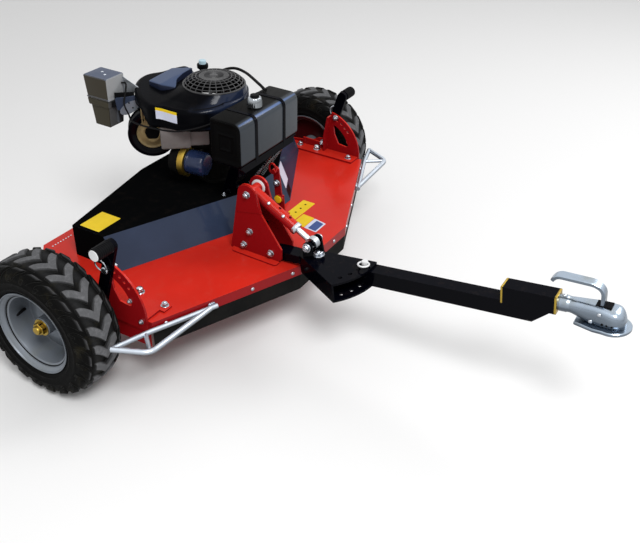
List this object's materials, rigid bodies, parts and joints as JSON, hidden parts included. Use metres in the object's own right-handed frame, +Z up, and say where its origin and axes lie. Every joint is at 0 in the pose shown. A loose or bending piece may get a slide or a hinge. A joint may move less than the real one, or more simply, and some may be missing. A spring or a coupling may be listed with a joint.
{
  "type": "tow-behind rotary mower",
  "caption": "Tow-behind rotary mower: red sheet deck, belt-driven blades under a black cover, petrol engine, height-adjustable wheels, swivelling drawbar with ball coupler.",
  "frame": {"origin": "on the ground under the middle of the whole machine, 0.5187 m in front of the wheel axles", "axes": "+Z up, -Y towards the towing vehicle, +X to the mower's left"},
  "size_m": [1.519, 1.6893, 0.6683],
  "materials": {
    "red_paint": "gloss",
    "black_paint": "gloss",
    "black_plastic": "satin",
    "grey_plastic": "satin",
    "zinc": "satin",
    "dark_steel": "satin",
    "cast_alloy": "cast",
    "rubber": "matte",
    "tyre": "matte",
    "rim_silver": "satin",
    "filter_blue": "gloss"
  },
  "bodies": {
    "deck": {"air_cleaner_cover": "black_plastic", "belt_cover": "black_paint", "blade_belt": "rubber", "blower_grille": "black_plastic", "blower_housing": "black_plastic", "centre_spindle_housing": "cast_alloy", "control_box": "grey_plastic", "control_box_base": "black_plastic", "deck_shell": "red_paint", "drive_belt": "rubber", "engine_crankcase": "cast_alloy", "engine_side_cover": "cast_alloy", "front_rubber_skirt": "rubber", "fuel_hose": "rubber", "fuel_tank": "black_plastic", "hitch_tower_block": "black_paint", "hitch_tower_left": "red_paint", "hitch_tower_right": "red_paint", "left_adjuster_bracket": "red_paint", "left_spindle_housing": "cast_alloy", "left_tank_strap": "black_paint", "left_wheel_guard": "zinc", "muffler_drum": "black_paint", "muffler_end_plate": "cast_alloy", "oil_filter": "filter_blue", "rear_rubber_skirt": "rubber", "right_adjuster_bracket": "red_paint", "right_spindle_housing": "cast_alloy", "right_tank_strap": "black_paint", "right_wheel_guard": "zinc", "tank_frame": "black_paint", "throttle_cable": "rubber"},
    "fuel_cap": {"fuel_cap": "zinc"},
    "oil_filler_cap": {"oil_filler_cap": "black_plastic"},
    "crankshaft": {"crankshaft": "dark_steel", "cooling_fan": "dark_steel"},
    "idler_arm": {"idler_arm": "dark_steel"},
    "idler_pulley": {"idler_pulley": "dark_steel"},
    "clutch_lever": {"clutch_lever": "red_paint"},
    "drawbar_beam": {"drawbar_beam": "black_paint"},
    "drawbar": {"drawbar_tube": "black_paint", "coupler_body": "zinc"},
    "swing_pin": {"swing_pin": "zinc"},
    "top_link_tube": {"top_link_tube": "red_paint"},
    "top_link_rod": {"top_link_rod": "zinc"},
    "coupler_handle": {"coupler_handle": "zinc"},
    "right_wheel": {"right_tyre": "tyre", "right_rim": "rim_silver"},
    "right_wheel_arm": {"right_wheel_arm": "black_paint"},
    "right_height_pin": {"right_height_pin": "zinc"},
    "left_wheel": {"left_tyre": "tyre", "left_rim": "rim_silver"},
    "left_wheel_arm": {"left_wheel_arm": "black_paint"},
    "left_height_pin": {"left_height_pin": "zinc"},
    "right_spindle": {"right_blade_spindle": "dark_steel", "right_blade": "dark_steel"},
    "centre_spindle": {"centre_blade_spindle": "dark_steel", "centre_blade": "dark_steel"},
    "left_spindle": {"left_blade_spindle": "dark_steel", "left_blade": "dark_steel"}
  },
  "joints": [
    {"name": "right_height_lever", "type": "hinge", "parent": "deck", "child": "right_wheel_arm", "pos_m": [-0.5886, 0.4207, 0.24], "axis": [1, 0, 0], "range_deg": [0, 32]},
    {"name": "right_wheel_spin", "type": "hinge", "parent": "right_wheel_arm", "child": "right_wheel", "pos_m": [-0.686, 0.5187, 0.203], "axis": [1, 0, 0], "continuous": true},
    {"name": "right_height_pin_pull", "type": "slide", "parent": "right_wheel_arm", "child": "right_height_pin", "axis": [-1, 0, 0], "range_m": [0, 0.02]},
    {"name": "left_height_lever", "type": "hinge", "parent": "deck", "child": "left_wheel_arm", "pos_m": [0.5886, 0.4207, 0.24], "axis": [1, 0, 0], "range_deg": [0, 32]},
    {"name": "left_wheel_spin", "type": "hinge", "parent": "left_wheel_arm", "child": "left_wheel", "pos_m": [0.686, 0.5187, 0.203], "axis": [1, 0, 0], "continuous": true},
    {"name": "left_height_pin_pull", "type": "slide", "parent": "left_wheel_arm", "child": "left_height_pin", "axis": [1, 0, 0], "range_m": [0, 0.02]},
    {"name": "crankshaft_spin", "type": "hinge", "parent": "deck", "child": "crankshaft", "pos_m": [0.048, 0.4987, 0.296], "axis": [0, 0, 1], "continuous": true},
    {"name": "right_spindle_spin", "type": "hinge", "parent": "deck", "child": "right_spindle", "pos_m": [-0.37, 0.5487, 0.2], "axis": [0, 0, 1], "continuous": true},
    {"name": "centre_spindle_spin", "type": "hinge", "parent": "deck", "child": "centre_spindle", "pos_m": [0, 0.4147, 0.2], "axis": [0, 0, 1], "continuous": true},
    {"name": "left_spindle_spin", "type": "hinge", "parent": "deck", "child": "left_spindle", "pos_m": [0.37, 0.5487, 0.2], "axis": [0, 0, 1], "continuous": true},
    {"name": "idler_arm_swing", "type": "hinge", "parent": "deck", "child": "idler_arm", "pos_m": [0.15, 0.4987, 0.296], "axis": [0, 0, 1], "range_deg": [0, 12]},
    {"name": "idler_pulley_spin", "type": "hinge", "parent": "idler_arm", "child": "idler_pulley", "pos_m": [0.08547, 0.42157, 0.296], "axis": [0, 0, 1], "continuous": true},
    {"name": "clutch_lever_swing", "type": "hinge", "parent": "deck", "child": "clutch_lever", "pos_m": [0.0745, 0.2827, 0.3], "axis": [1, 0, 0], "range_deg": [0, 60]},
    {"name": "fuel_cap_turn", "type": "hinge", "parent": "deck", "child": "fuel_cap", "pos_m": [-0.015, 0.3067, 0.636], "axis": [0, 0, 1], "range_deg": [0, 90]},
    {"name": "oil_filler_cap_turn", "type": "hinge", "parent": "deck", "child": "oil_filler_cap", "pos_m": [0.132, 0.6067, 0.642], "axis": [0, 0, 1], "range_deg": [0, 90]},
    {"name": "drawbar_pitch", "type": "hinge", "parent": "deck", "child": "drawbar_beam", "pos_m": [-0.125, 0.15844, 0.25188], "axis": [1, 0, 0], "range_deg": [-7, 8]},
    {"name": "drawbar_swing", "type": "hinge", "parent": "drawbar_beam", "child": "drawbar", "pos_m": [-0.125, 0.01598, 0.25803], "axis": [0, 0.134, 0.991], "range_deg": [-36, 0]},
    {"name": "swing_pin_pull", "type": "slide", "parent": "drawbar_beam", "child": "swing_pin", "axis": [0, 0.134, 0.991], "range_m": [0, 0.06]},
    {"name": "top_link_turn", "type": "hinge", "parent": "deck", "child": "top_link_tube", "pos_m": [-0.125, 0.2407, 0.43], "axis": [1, 0, 0], "range_deg": [-4, 4]},
    {"name": "top_link_slide", "type": "slide", "parent": "top_link_tube", "child": "top_link_rod", "axis": [0, -0.8765, -0.4814], "range_m": [-0.03, 0.03]},
    {"name": "coupler_handle_lift", "type": "hinge", "parent": "drawbar", "child": "coupler_handle", "pos_m": [-0.125, -0.76708, 0.40729], "axis": [1, 0, 0], "range_deg": [0, 50]}
  ],
  "couplings": [
    {"joint": "right_spindle_spin", "follows": "crankshaft_spin", "ratio": 1},
    {"joint": "centre_spindle_spin", "follows": "crankshaft_spin", "ratio": 1},
    {"joint": "left_spindle_spin", "follows": "crankshaft_spin", "ratio": 1},
    {"joint": "idler_pulley_spin", "follows": "crankshaft_spin", "ratio": -2.2045},
    {"joint": "idler_arm_swing", "follows": "clutch_lever_swing", "ratio": 0.2},
    {"joint": "top_link_turn", "follows": "drawbar_pitch", "ratio": 0.314},
    {"joint": "top_link_slide", "follows": "drawbar_pitch", "m_per_rad": 0.116}
  ]
}
